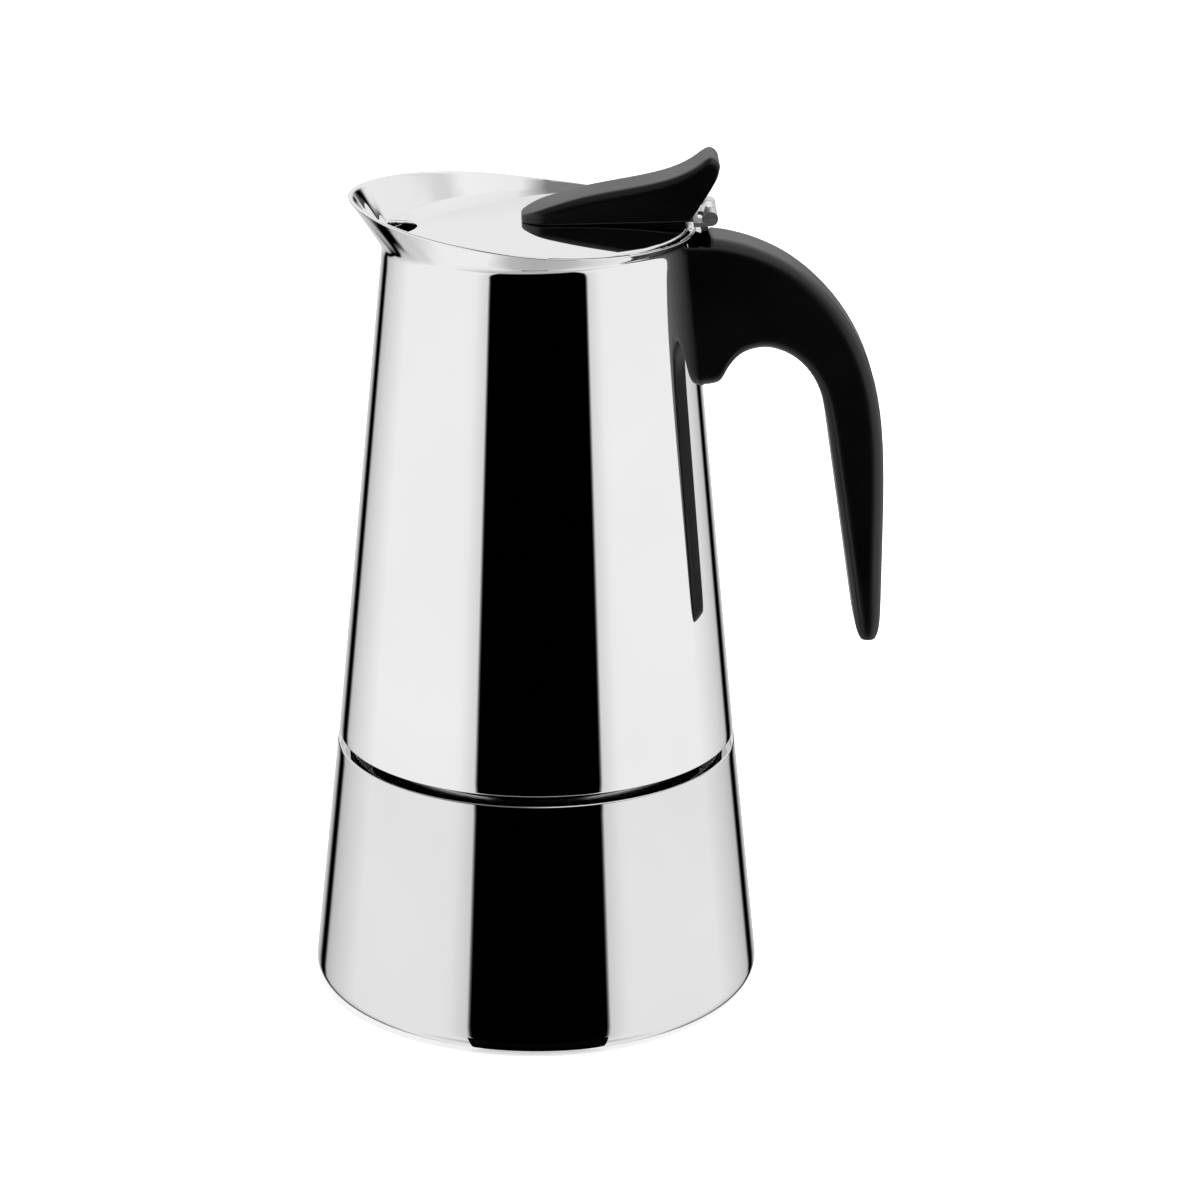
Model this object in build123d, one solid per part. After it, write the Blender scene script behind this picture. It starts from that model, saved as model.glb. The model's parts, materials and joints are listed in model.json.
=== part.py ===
"""Stainless steel stove-top moka pot, built as the pieces that it comes apart into.

Millimetres. +Z is up, the origin is the centre of the base's underside, the spout points to -X and the
handle to +X. The pot is shown closed: lid down, collector screwed tight on the boiler.
"""

from build123d import *
from math import atan2, cos, hypot, pi, sin, sqrt
import os

# Boiler, the lower vessel
sheet = 0.8                      # wall of the drawn steel shells
boiler_base_radius = 50.6        # side wall carried down to the floor, before the corner is rounded
boiler_top_radius = 44.6
boiler_height = 56.5             # floor to shoulder
base_corner = 3.6
shoulder_corner = 0.4
floor_thickness = 1.0
neck_ring_radius = 42.8          # outer edge of the shoulder ring that carries the neck

# Screw joint between boiler and collector
neck_radius = 34.0               # root of the neck's outside thread
neck_height = 10.0
thread_pitch = 3.0
thread_turns = 1.9
thread_depth = 0.9
thread_clearance = 0.25          # radial gap, crest to root
flank_clearance = 0.2            # axial gap on the flanks that carry the load
thread_root_width = 1.3
thread_crest_width = 0.6
thread_lead_in = 1.0             # plain neck below the rim
thread_bite = 0.2                # how far a thread ridge sinks into its wall
skirt_wall = 1.8                 # threaded skirt under the collector

# Funnel with its coffee basket
funnel_sheet = 0.6
basket_radius = 29.5
basket_depth = 20.0
cone_depth = 9.0
stem_radius = 5.0
stem_floor_gap = 5.0
strainer_ledge = 1.4
strainer_clearance = 0.2
strainer_thickness = 0.6
hole_radius = 0.6
hole_spacing = 4.2
hole_margin = 3.0
holes_per_ring = 6               # each ring out has this many holes more

# Gasket and filter plate
gasket_width = 6.0
gasket_height = 4.0
gasket_clearance = 0.3
plate_thickness = 0.7
plate_clearance = 0.3
seat_gap = 0.05                  # between flat faces that are pressed together

# Collector, the upper vessel
seam_gap = 2.0                   # dark line between boiler and collector
collector_base_radius = 44.3
collector_bend_radius = 33.15
collector_bend_height = 172.1
hem_width = 3.2
hem_corner = 0.4
weld_gap = 0.05
floor_sheet = 1.0
floor_rise = 5.0
floor_flat = 6.0                 # flat ring of the collector's floor, inside the gasket's outer edge

# Flared rim and spout
flare_start = 168.5
flare_top = 182.5
flare_levels = 9
flare_points = 48
spout_bend_height = 169.9        # where the wall turns out, at the spout
bend_climb = 2.6                 # how much higher the bend is at the hinge
bend_softness = 0.7
lean_length = 1.0                # past the bend, the length over which the wall takes up its slope
flare_slope = 0.622              # run out per rise, on top of the straight wall's own
flare_slope_gain = 0.47          # added at the hinge
spout_pull = 0.06                # added at the spout's tip
spout_sharpness = 60
rim_points = [(-48, 180.7), (-40.6, 180.65), (-34, 179.9), (-21.5, 178.45), (-12.5, 177.4), (-1, 175.95),
              (9, 175.1), (18, 174.65), (27, 174.3), (33, 173.9), (48, 173.6)]

# Coffee column
column_base_radius = 6.0
column_top_radius = 4.6
column_height = 64.0
column_wall = 0.7
column_collar = 2.0
column_seat = 2.5
window_width = 4.6
window_height = 8.0
window_drop = 4.0

# Lid
lid_radius = 33.0
lid_sheet = 0.9
lid_edge_height = 174.1          # lid level, before it is turned down to where it rests
lid_dome = 1.3
lid_tilt = 1.5                   # degrees that the lid rests below level, about the hinge pin
notch_radius = 7.4
notch_reach = 33.2

# Hinge
pin_x = 37.4
pin_z = 177.05
pin_radius = 0.85
pin_clearance = 0.05
knuckle_wall = 0.65
hinge_width = 15.2
middle_knuckle = 5.6
knuckle_gap = 0.3
leaf_thickness = 1.0
leaf_weld_length = 7.0
leaf_head_length = 2.15          # wide end of the leaf, between its narrow stem and the knuckles
bracket_bottom = 160.0
bracket_half_width = 6.5
bracket_top = 167.0
arm_top = 174.3                  # of the wide arm, below the knuckles
arm_cheek = 1.0                  # from the arm's sides in to the handle's own
arm_pocket = 0.9                 # open behind the arm, in the handle's top

# Lid knob
knob_width = 14.0
knob_edge = 2.0
knob_tip_x = -3.25
knob_tip_width = 5.0
knob_shoulder_x = 0.85
knob_foot_x = 32.85
knob_top = [(-3.25, 177.7), (3.45, 180.3), (10.05, 182.1), (16.05, 183.1), (23.25, 184.2), (28.45, 185.3),
            (32.25, 186.75), (34.65, 188.2), (37.15, 190.0)]
knob_nose = (38.95, 189.6)       # between the top's end and the back, on a round nose
knob_back = (39.65, 187.4)
knob_lift = 0.05
knob_skirt_inset = 1.0           # the part of the knob that follows the lid's dome stands in from its sides
knob_skirt_margin = 0.45         # from that part's corners to the lid's edge
knob_screw_x = (12.0, 25.0)
screw_radius = 1.6
screw_clearance = 0.15
screw_head_radius = 2.8
screw_head_height = 1.6
knob_screw_bite = 4.0
screw_bore_gap = 0.05            # round a screw in the piece that it holds
slot_half_width = 0.4

# Handle
handle_width = 16.0
handle_edge = 2.6
handle_tip_round = 3.0
handle_outer = [(30.0, 172.4), (38.0, 172.3), (46.0, 170.7), (54.0, 167.2), (61.5, 161.5), (68.0, 153.9),
                (73.3, 143.3), (76.05, 129.1), (76.45, 114.0)]
handle_inner = [(68.8, 96.9), (66.5, 112.0), (64.3, 125.9), (62.8, 136.0), (60.6, 141.6), (56.3, 145.9),
                (50.6, 147.8), (45.2, 146.7), (42.1, 143.0), (38.1, 139.6), (30.0, 138.7)]
tip_outer = (76.45, 83.5)        # lower end of the straight outer edge
root_gap = 0.1
bracket_clearance = 0.2

# Handle bracket and screw
pad_thickness = 1.0
pad_half_width = 5.0
pad_bottom = 143.0
pad_top = 157.0
tongue_half_width = 3.0
tongue_bottom = 147.5
tongue_top = 154.0
tongue_reach = 43.5
handle_screw_x = 39.4
handle_screw_head_radius = 2.0
handle_screw_head_height = 2.0
handle_screw_top = 151.5
handle_screw_head_bottom = 143.2
handle_screw_recess = 2.3

# Safety valve, at the back of the boiler
valve_height = 36.0
boss_radius = 8.0
boss_length = 4.2
boss_inside = 2.4                # how far the boss stands inside the wall's outer face
shank_radius = 5.0
shank_clearance = 0.05
washer_radius = 7.2
washer_thickness = 0.8
hex_flats = 13.0
hex_length = 5.0
nose_radius = 4.6
nose_length = 3.6
shank_inside = 1.6
seat_radius = 1.5
seat_length = 2.0
chamber_radius = 3.2
cap_thickness = 1.4
vent_radius = 1.6
poppet_radius = 2.6
poppet_head = 1.4
poppet_stem_radius = 1.1
poppet_seat_gap = 0.05
poppet_proud = 1.4
spring_wire = 0.7
spring_radius = 2.5
spring_turns = 5.5
spring_end_gap = 0.15

# Working lengths
cut_past = 1.0                   # how far a cut runs past the face that it goes through
near = 0.001                     # places this close are the same place

# Places worked out from the sizes above
neck_top = boiler_height + neck_height
flange_top = neck_top + funnel_sheet
gasket_bottom = flange_top + seat_gap
gasket_top = gasket_bottom + gasket_height
plate_bottom = gasket_top + seat_gap
plate_top = plate_bottom + plate_thickness
roof = plate_top + seat_gap
collector_bottom = boiler_height + seam_gap
recess_radius = neck_radius + gasket_clearance
skirt_root = neck_radius + thread_depth + thread_clearance
skirt_radius = skirt_root + skirt_wall
basket_floor = neck_top - basket_depth
boiler_slope = (boiler_base_radius - boiler_top_radius) / boiler_height
collector_slope = (collector_base_radius - collector_bend_radius) / (collector_bend_height - collector_bottom)
knuckle_radius = pin_radius + pin_clearance + knuckle_wall
column_bottom = roof + floor_rise - column_seat
lid_top = lid_edge_height + lid_sheet + lid_dome
arm_half_width = handle_width / 2 - arm_cheek


def boiler_radius(z):
    """Outside radius of the boiler's wall at a height."""
    return boiler_base_radius - boiler_slope * z


def collector_radius(z):
    """Outside radius of the collector's straight wall at a height."""
    return collector_base_radius - collector_slope * (z - collector_bottom)


def outline(points, rounds=()):
    """A flat face from corner points, with some corners rounded: rounds holds (corner number, radius)."""
    face = make_face(Polyline(*points, close=True))
    for number, radius in rounds:
        x, y = points[number]
        corner = min(face.vertices(), key=lambda v: hypot(v.X - x, v.Y - y))
        face = fillet(corner, radius)
    return face


def turned(points, rounds=()):
    """A turned solid from a half section given as (radius, height) corners."""
    return revolve(Plane.XZ * outline(points, rounds), Axis.Z)


def upright(radius, bottom, top, x=0.0, y=0.0):
    """A vertical round bar."""
    return Pos(x, y, bottom) * extrude(Circle(radius), top - bottom)


def block(low, high):
    """A box from its low corner to its high corner."""
    size = [b - a for a, b in zip(low, high)]
    centre = [(a + b) / 2 for a, b in zip(low, high)]
    return Pos(*centre) * Box(*size)


def thread_ridge(wall_radius, height, bottom, turns):
    """A helical ridge on a wall: height is outwards, and negative for a thread inside a ring."""
    path = Pos(0, 0, bottom) * Helix(thread_pitch, thread_pitch * turns, wall_radius)
    root = thread_root_width / 2
    crest = thread_crest_width / 2
    sunk = -thread_bite if height > 0 else thread_bite
    section = Plane(origin=path @ 0, x_dir=(1, 0, 0), z_dir=path % 0) * outline(
        [(sunk, -root), (sunk, root), (height, crest), (height, -crest)])
    return sweep(section, path, is_frenet=True)


def hole_pattern(reach, bottom, top):
    """Small drainage holes on rings, one ring every hole_spacing, out to reach."""
    rings = int(reach / hole_spacing)
    spots = [(0.0, 0.0)]
    for ring in range(1, rings + 1):
        count = holes_per_ring * ring
        for step in range(count):
            turn = 2 * pi * step / count
            spots.append((ring * hole_spacing * cos(turn), ring * hole_spacing * sin(turn)))
    return [upright(hole_radius, bottom, top, x, y) for x, y in spots]


# Boiler
male_bottom = neck_top - thread_lead_in - thread_root_width / 2 - thread_turns * thread_pitch


def make_boiler():
    ceiling = boiler_height - sheet
    outside = turned(
        [(0, 0), (boiler_base_radius, 0), (boiler_top_radius, boiler_height), (0, boiler_height)],
        [(1, base_corner), (2, shoulder_corner)])
    inside = turned(
        [(0, floor_thickness), (boiler_radius(floor_thickness) - sheet, floor_thickness),
         (boiler_radius(ceiling) - sheet, ceiling), (neck_ring_radius, ceiling),
         (neck_ring_radius, boiler_height + cut_past), (0, boiler_height + cut_past)],
        [(1, base_corner - sheet)])
    return outside - inside - valve_bar(boss_radius + weld_gap, -boss_length * 2, boss_length * 2)


def make_boiler_neck():
    edge = neck_ring_radius - weld_gap
    inner_neck = neck_radius - sheet
    ceiling = boiler_height - sheet
    ring = turned([
        (inner_neck, ceiling), (edge, ceiling), (edge, boiler_height), (neck_radius, boiler_height),
        (neck_radius, neck_top), (inner_neck, neck_top)])
    return ring + thread_ridge(neck_radius, thread_depth, male_bottom, thread_turns)


# Safety valve: bars and rings on a horizontal axis through the boiler's back wall
valve_wall = boiler_radius(valve_height)


def valve_bar(radius, start, stop):
    """A round bar on the valve's axis, from start to stop outwards of the wall's outer face."""
    return Pos(0, valve_wall + start, valve_height) * Rot(-90, 0, 0) * extrude(Circle(radius), stop - start)


boss_face = boss_length - boss_inside
hex_face = boss_face + washer_thickness
nose_start = hex_face + hex_length
nose_end = nose_start + nose_length
shank_end = -boss_inside - shank_inside
chamber_start = shank_end + seat_length
cap_start = nose_end - cap_thickness


def make_valve_boss():
    return valve_bar(boss_radius, -boss_inside, boss_face) - valve_bar(
        shank_radius + shank_clearance, -boss_length, boss_length)


def make_valve_washer():
    return valve_bar(washer_radius, boss_face, hex_face) - valve_bar(
        shank_radius + shank_clearance, boss_face - cut_past, hex_face + cut_past)


def make_valve_body():
    hexagon = Pos(0, valve_wall + hex_face, valve_height) * Rot(-90, 0, 0) * extrude(
        RegularPolygon(hex_flats / 2, 6, major_radius=False), hex_length)
    body = valve_bar(shank_radius, shank_end, hex_face) + hexagon
    body += valve_bar(nose_radius, nose_start, nose_end)
    return body - valve_bar(chamber_radius, shank_end - cut_past, nose_end + cut_past)


def make_valve_seat():
    return valve_bar(chamber_radius - seat_gap, shank_end, chamber_start) - valve_bar(
        seat_radius, shank_end - cut_past, chamber_start + cut_past)


def make_valve_cap():
    return valve_bar(chamber_radius - seat_gap, cap_start, nose_end) - valve_bar(
        vent_radius, cap_start - cut_past, nose_end + cut_past)


def make_valve_poppet():
    seat = chamber_start + poppet_seat_gap
    head = valve_bar(poppet_radius, seat, seat + poppet_head)
    return head + valve_bar(poppet_stem_radius, chamber_start + poppet_head, nose_end + poppet_proud)


def make_valve_spring():
    start = chamber_start + poppet_seat_gap + poppet_head + spring_end_gap + spring_wire / 2
    stop = cap_start - spring_end_gap - spring_wire / 2
    pitch = (stop - start) / spring_turns
    path = Helix(pitch, stop - start, spring_radius)
    print("valve spring: least gap between turns", round(pitch - spring_wire, 2), "mm")
    section = Plane(origin=path @ 0, z_dir=path % 0) * Circle(spring_wire / 2)
    wire = sweep(section, path, is_frenet=True)
    return Pos(0, valve_wall + start, valve_height) * Rot(-90, 0, 0) * wire


# Funnel
ledge_radius = basket_radius - funnel_sheet - strainer_ledge
cone_floor = basket_floor - cone_depth
strainer_radius = basket_radius - funnel_sheet - strainer_clearance


def make_funnel():
    inner_basket = basket_radius - funnel_sheet
    inner_stem = stem_radius - funnel_sheet
    cone_end = cone_floor - funnel_sheet
    return turned([
        (inner_basket, flange_top), (neck_radius, flange_top), (neck_radius, neck_top),
        (basket_radius, neck_top), (basket_radius, basket_floor - funnel_sheet),
        (stem_radius, cone_end), (inner_stem, cone_end), (inner_stem, cone_floor),
        (ledge_radius, basket_floor), (inner_basket, basket_floor)])


def make_funnel_tube():
    bottom = floor_thickness + stem_floor_gap
    top = cone_floor - funnel_sheet - weld_gap
    return upright(stem_radius, bottom, top) - upright(
        stem_radius - funnel_sheet, bottom - cut_past, top + cut_past)


def make_funnel_strainer():
    top = basket_floor + strainer_thickness
    disc = upright(strainer_radius, basket_floor, top)
    reach = strainer_radius - strainer_ledge - hole_margin
    return disc - hole_pattern(reach, basket_floor - cut_past, top + cut_past)


# Gasket and filter plate
def make_gasket():
    outer = neck_radius - seat_gap
    return upright(outer, gasket_bottom, gasket_top) - upright(
        outer - gasket_width, gasket_bottom - cut_past, gasket_top + cut_past)


def make_filter_plate():
    radius = recess_radius - plate_clearance
    disc = upright(radius, plate_bottom, plate_top)
    reach = radius - gasket_width - hole_margin
    return disc - hole_pattern(reach, plate_bottom - cut_past, plate_top + cut_past)


# Collector
def make_collector_floor():
    wall = collector_radius(roof + floor_sheet) - sheet - weld_gap
    cone_start = recess_radius - gasket_width - floor_flat
    hole = column_base_radius + weld_gap
    return turned([
        (wall, roof), (wall, roof + floor_sheet), (cone_start, roof + floor_sheet),
        (hole, roof + floor_sheet + floor_rise), (hole, roof + floor_rise), (cone_start, roof)])


def make_collector_skirt():
    bottom = collector_bottom + seat_gap
    step = neck_top + seat_gap * 2 + thread_bite
    top = roof - weld_gap
    ring = turned([
        (skirt_root, bottom), (skirt_radius, bottom), (skirt_radius, top), (recess_radius, top),
        (recess_radius, step), (skirt_root, step)])
    drop = (thread_root_width + thread_crest_width) / 2 + flank_clearance
    female_bottom = male_bottom - drop + thread_pitch / 2
    return ring + Rot(0, 0, 180) * thread_ridge(skirt_root, -thread_depth, female_bottom, thread_turns)


def flare_radius(turn, z, inset):
    """Radius of the flared wall at an angle from the spout and a height, inset for the inside face."""
    back = sin(turn / 2) ** 2
    bend = spout_bend_height + bend_climb * sqrt(back)
    over = z - bend
    past = (over + sqrt(over ** 2 + bend_softness ** 2)) / 2
    pull = spout_pull * (1 - back) ** (spout_sharpness / 2)
    slope = flare_slope + flare_slope_gain * back + pull + collector_slope
    lean = slope * past / (past + lean_length)
    return collector_radius(z) + slope * past - inset * sqrt(1 + lean ** 2)


def flare_section(z, inset):
    """A closed outline of the flared wall at one height."""
    points = []
    for step in range(flare_points):
        turn = 2 * pi * step / flare_points
        radius = flare_radius(turn, z, inset)
        points.append((-radius * cos(turn), radius * sin(turn)))
    return Pos(0, 0, z) * make_face(Spline(*points, periodic=True))


def flare_block(inset):
    """The solid inside the flared wall, from the straight wall up past the rim."""
    step = (flare_top - flare_start) / (flare_levels - 1)
    return loft([flare_section(flare_start + step * level, inset) for level in range(flare_levels)])


def make_collector_shell():
    top = collector_radius(flare_start)
    tube = turned(
        [(collector_base_radius - hem_width, collector_bottom), (collector_base_radius, collector_bottom),
         (top, flare_start), (top - sheet, flare_start),
         (collector_radius(collector_bottom + sheet) - sheet, collector_bottom + sheet),
         (collector_base_radius - hem_width, collector_bottom + sheet)],
        [(1, hem_corner)])
    flare = flare_block(0) - flare_block(sheet)
    first = rim_points[0]
    last = rim_points[-1]
    high = flare_top + cut_past
    over = Polyline(last, (last[0], high), (first[0], high), first)
    above = make_face(Spline(*rim_points) + over)
    flare -= extrude(Plane.XZ * above, boiler_base_radius, both=True)
    return tube + flare


def make_coffee_column():
    bottom = column_bottom
    top = bottom + column_height
    collar = roof + floor_rise + floor_sheet
    collar_radius = column_base_radius + column_collar
    bore = column_base_radius - column_wall
    column = turned(
        [(0, bottom), (column_base_radius, bottom), (column_base_radius, collar), (collar_radius, collar),
         (collar_radius, collar + column_wall), (column_base_radius, collar + column_wall * 2),
         (column_top_radius, top), (0, top)],
        [(6, column_top_radius / 2)])
    column -= turned(
        [(0, bottom - cut_past), (bore, bottom - cut_past), (bore, collar),
         (column_top_radius - column_wall, top - column_top_radius), (0, top - column_wall)])
    window_top = top - window_drop
    return column - block((-window_width / 2, -column_base_radius, window_top - window_height),
                          (window_width / 2, column_base_radius, window_top))


# Lid: its pieces are made level and then turned down about the hinge pin
def at_rest(piece):
    """A piece of the lid, turned from level to where it rests."""
    return Pos(pin_x, 0, pin_z) * Rot(0, -lid_tilt, 0) * Pos(-pin_x, 0, -pin_z) * piece


def lid_surface(x):
    """Height of the level lid's upper face on its middle line."""
    ball = (lid_radius ** 2 + lid_dome ** 2) / (2 * lid_dome)
    return lid_top - ball + sqrt(ball ** 2 - x ** 2)


def lid_arc(drop):
    """Half of the lid's domed section, a drop below its upper face."""
    return ThreePointArc(*[(x, lid_surface(x) - drop) for x in (0, lid_radius / 2, lid_radius)])


def make_lid():
    under = lid_arc(lid_sheet)
    over = lid_arc(0)
    half = make_face(under + Line(under @ 1, over @ 1) + over + Line(over @ 0, under @ 0))
    dish = revolve(Plane.XZ * half, Axis.Z)
    dish -= upright(notch_radius, lid_edge_height - cut_past, lid_top + cut_past, x=-notch_reach)
    return at_rest(dish - [screw_hole(x) for x in knob_screw_x])


def lid_dome_block():
    """The solid below the level lid's upper face, grown by the knob's gap."""
    over = lid_arc(-knob_lift)
    low = lid_edge_height - cut_past
    half = make_face(over + Polyline(over @ 1, (lid_radius, low), (0, low), over @ 0))
    return revolve(Plane.XZ * half, Axis.Z)


def screw_hole(x):
    """Clearance hole through the lid for a knob screw."""
    return upright(screw_radius + screw_clearance, lid_edge_height - cut_past, lid_top + cut_past, x=x)


def knuckle(start, stop):
    """A curled hinge knuckle between two places along the pin."""
    return Pos(pin_x, stop, pin_z) * Rot(90, 0, 0) * extrude(
        Circle(knuckle_radius) - Circle(pin_radius + pin_clearance), stop - start)


def pin_space():
    """The bore through the knuckles."""
    bore = extrude(Circle(pin_radius + pin_clearance), 2 * hinge_width)
    return Pos(pin_x, hinge_width, pin_z) * Rot(90, 0, 0) * bore


def leaf_start():
    """Inner end of the hinge leaf on the lid."""
    return pin_x - knuckle_radius - leaf_weld_length


def leaf_head_start():
    """Where the hinge leaf widens to the hinge's full width."""
    return pin_x - knuckle_radius - leaf_head_length


def leaf_foot():
    """Underside of the hinge leaf, on the lid."""
    return lid_surface(leaf_start()) + knob_lift


def make_lid_hinge_leaf():
    half = hinge_width / 2
    stem = middle_knuckle / 2
    inner = stem + knuckle_gap
    weld = leaf_start()
    foot = leaf_foot()
    strip = make_face(Polyline(
        (weld, foot), (lid_radius, foot), (pin_x, pin_z - knuckle_radius), (pin_x, pin_z - pin_radius),
        (lid_radius - leaf_thickness / 2, foot + leaf_thickness), (weld, foot + leaf_thickness), close=True))
    leaf = extrude(Plane.XZ * strip, half, both=True)
    low = foot - cut_past
    high = pin_z + knuckle_radius
    leaf -= block((weld - cut_past, stem, low), (leaf_head_start(), hinge_width, high))
    leaf -= block((weld - cut_past, -hinge_width, low), (leaf_head_start(), -stem, high))
    leaf -= block((pin_x - knuckle_radius - leaf_thickness, -inner, low), (2 * pin_x, inner, high))
    leaf += knuckle(-half, -inner) + knuckle(inner, half)
    return at_rest(leaf - pin_space())


def arm_face(z):
    """How far out the hinge bracket's arm reaches at a height."""
    foot = collector_radius(bracket_top) + weld_gap + leaf_thickness
    return foot + (pin_x - foot) * max(0, z - bracket_top) / (pin_z - knuckle_radius - bracket_top)


def make_hinge_bracket():
    half = middle_knuckle / 2
    wall = cone_ring(weld_gap, weld_gap + leaf_thickness, bracket_bottom, bracket_top)
    pad = wall & block((0, -bracket_half_width, bracket_bottom), (pin_x, bracket_half_width, bracket_top))
    inside = collector_radius(bracket_top) + weld_gap
    bend = bracket_top - leaf_thickness * 2
    strip = make_face(Polyline(
        (inside, bend), (inside + leaf_thickness, bend), (inside + leaf_thickness, bracket_top),
        (pin_x, pin_z - knuckle_radius), (pin_x - knuckle_radius, pin_z),
        (inside + leaf_thickness / 2, bracket_top + leaf_thickness), (inside, bracket_top), close=True))
    arm = extrude(Plane.XZ * strip, arm_half_width, both=True)
    arm -= block((0, half, arm_top), (2 * pin_x, handle_width, 2 * arm_top))
    arm -= block((0, -handle_width, arm_top), (2 * pin_x, -half, 2 * arm_top))
    bracket = pad + arm + knuckle(-half, half) - pin_space()
    return bracket - cone_block(weld_gap, bracket_bottom - cut_past, bracket_top + leaf_thickness)


def make_hinge_pin():
    half = hinge_width / 2 + knuckle_gap
    return Pos(pin_x, half, pin_z) * Rot(90, 0, 0) * extrude(Circle(pin_radius), 2 * half)


def cone_block(gap, bottom, top):
    """The solid inside the collector's straight wall, grown by a gap."""
    wide = collector_radius(bottom) + gap
    narrow = collector_radius(top) + gap
    return turned([(0, bottom), (wide, bottom), (narrow, top), (0, top)])


def cone_ring(inner, outer, bottom, top):
    """A shell that hugs the outside of the collector's straight wall."""
    return cone_block(outer, bottom, top) - cone_block(inner, bottom - cut_past, top + cut_past)


# Lid knob
def make_lid_knob():
    base = lid_top + knob_lift
    half = knob_width / 2
    tip = knob_tip_width / 2
    nose = ThreePointArc(knob_top[-1], knob_nose, knob_back)
    under = Polyline(knob_back, (knob_foot_x, base), (knob_tip_x, base), knob_top[0])
    knob = extrude(Plane.XZ * make_face(Spline(*knob_top) + nose + under), half, both=True)
    sides = [e for e in knob.edges() if abs(abs(e.center().Y) - half) < near]
    upper = [e for e in sides if e.center().Z > base + near and e.bounding_box().size.X > knob_width]
    knob = fillet(upper, knob_edge)
    plan = outline([(knob_tip_x, -tip), (knob_shoulder_x, -half), (knob_back[0], -half),
                    (knob_back[0], half), (knob_shoulder_x, half), (knob_tip_x, tip)])
    knob &= Pos(0, 0, base) * extrude(plan, knob_back[1])
    skirt_half = half - knob_skirt_inset
    skirt_end = sqrt((lid_radius - knob_skirt_margin) ** 2 - skirt_half ** 2)
    skirt = block((knob_shoulder_x, -skirt_half, lid_edge_height), (skirt_end, skirt_half, base + cut_past))
    knob += skirt - lid_dome_block()
    leaf_half = middle_knuckle / 2 + knuckle_gap
    leaf_over = leaf_foot() + leaf_thickness + knuckle_gap
    knob -= block((leaf_start() - knuckle_gap, -leaf_half, lid_edge_height),
                  (knob_back[0], leaf_half, leaf_over))
    head_half = hinge_width / 2 + knuckle_gap
    knob -= block((leaf_head_start() - knuckle_gap, -head_half, lid_edge_height),
                  (pin_x, head_half, leaf_over))
    top = base + knob_screw_bite + screw_clearance
    bores = [upright(screw_radius + screw_bore_gap, base - cut_past, top, x=x) for x in knob_screw_x]
    return at_rest(knob - bores)


def make_knob_screws():
    screws = []
    for x in knob_screw_x:
        seat = lid_surface(x + screw_head_radius) - lid_sheet - seat_gap
        shank = upright(screw_radius, seat, lid_top + knob_lift + knob_screw_bite, x=x)
        head = upright(screw_head_radius, seat - screw_head_height, seat, x=x)
        slot = block((x - screw_head_radius, -slot_half_width, seat - screw_head_height - cut_past),
                     (x + screw_head_radius, slot_half_width, seat - screw_head_height / 2))
        screws.append(at_rest(shank + head - slot))
    return Compound(children=screws)


# Handle
def handle_side():
    """The handle's outline seen from the side, as a face."""
    outer = Spline(*handle_outer, tangents=[(1, 0), (0, -1)])
    drop = Line(handle_outer[-1], tip_outer)
    first, second = handle_inner[:2]
    lean = atan2(first[0] - second[0], second[1] - first[1])
    centre = (tip_outer[0] - handle_tip_round, tip_outer[1])
    turns = [0, -pi / 2, lean - pi]
    low = [(centre[0] + handle_tip_round * cos(t), centre[1] + handle_tip_round * sin(t)) for t in turns]
    tip = ThreePointArc(*low)
    rising = (-sin(lean), cos(lean))
    inner = Spline(tip @ 1, *handle_inner, tangents=[rising, (-1, 0)])
    return make_face(outer + drop + tip + inner + Line(handle_inner[-1], handle_outer[0]))


def slot_space(half_width, reach, bottom, top):
    """The space for a bracket in the handle's root, from the pot's axis out to its reach."""
    return block((0, -half_width, bottom), (reach, half_width, top))


def make_handle():
    root = handle_outer[0][0]
    handle = extrude(Plane.XZ * handle_side(), handle_width / 2, both=True)
    sides = [e for e in handle.edges() if abs(abs(e.center().Y) - handle_width / 2) < near]
    long_edges = [e for e in sides if e.bounding_box().max.X > root + cut_past]
    handle = fillet(long_edges, handle_edge)
    low = handle_inner[-1][1]
    high = handle_outer[0][1]
    over = high + cut_past
    under = low - cut_past
    handle -= cone_block(root_gap, under, over)
    handle -= flare_block(-root_gap)
    gap = bracket_clearance
    pad_back = collector_radius(bracket_bottom) + leaf_thickness
    pad_over = bracket_top - 2 * leaf_thickness - gap
    handle -= slot_space(bracket_half_width + gap, pad_back + 2 * gap, bracket_bottom - gap, bracket_top)
    handle -= slot_space(arm_half_width + gap, arm_face(high) + arm_pocket, pad_over, over)
    pad_depth = collector_radius(pad_bottom) + pad_thickness + gap
    handle -= slot_space(pad_half_width + gap, pad_depth, pad_bottom - gap, pad_top + gap)
    handle -= slot_space(tongue_half_width + gap, tongue_reach + gap, tongue_bottom - gap, tongue_top + gap)
    handle -= upright(screw_radius + screw_clearance, under, tongue_bottom, x=handle_screw_x)
    recess_top = handle_screw_head_bottom + handle_screw_head_height + gap / 2
    return handle - upright(handle_screw_recess, under, recess_top, x=handle_screw_x)


def make_handle_bracket():
    pad = cone_ring(weld_gap, weld_gap + pad_thickness, pad_bottom, pad_top)
    pad &= block((0, -pad_half_width, pad_bottom), (2 * pin_x, pad_half_width, pad_top))
    start = collector_radius(tongue_top)
    tongue = block((start, -tongue_half_width, tongue_bottom), (tongue_reach, tongue_half_width, tongue_top))
    under = tongue_bottom - cut_past
    over = tongue_top + cut_past
    bracket = pad + (tongue - cone_block(weld_gap, under, over))
    return bracket - upright(screw_radius + screw_bore_gap, under, over, x=handle_screw_x)


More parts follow.
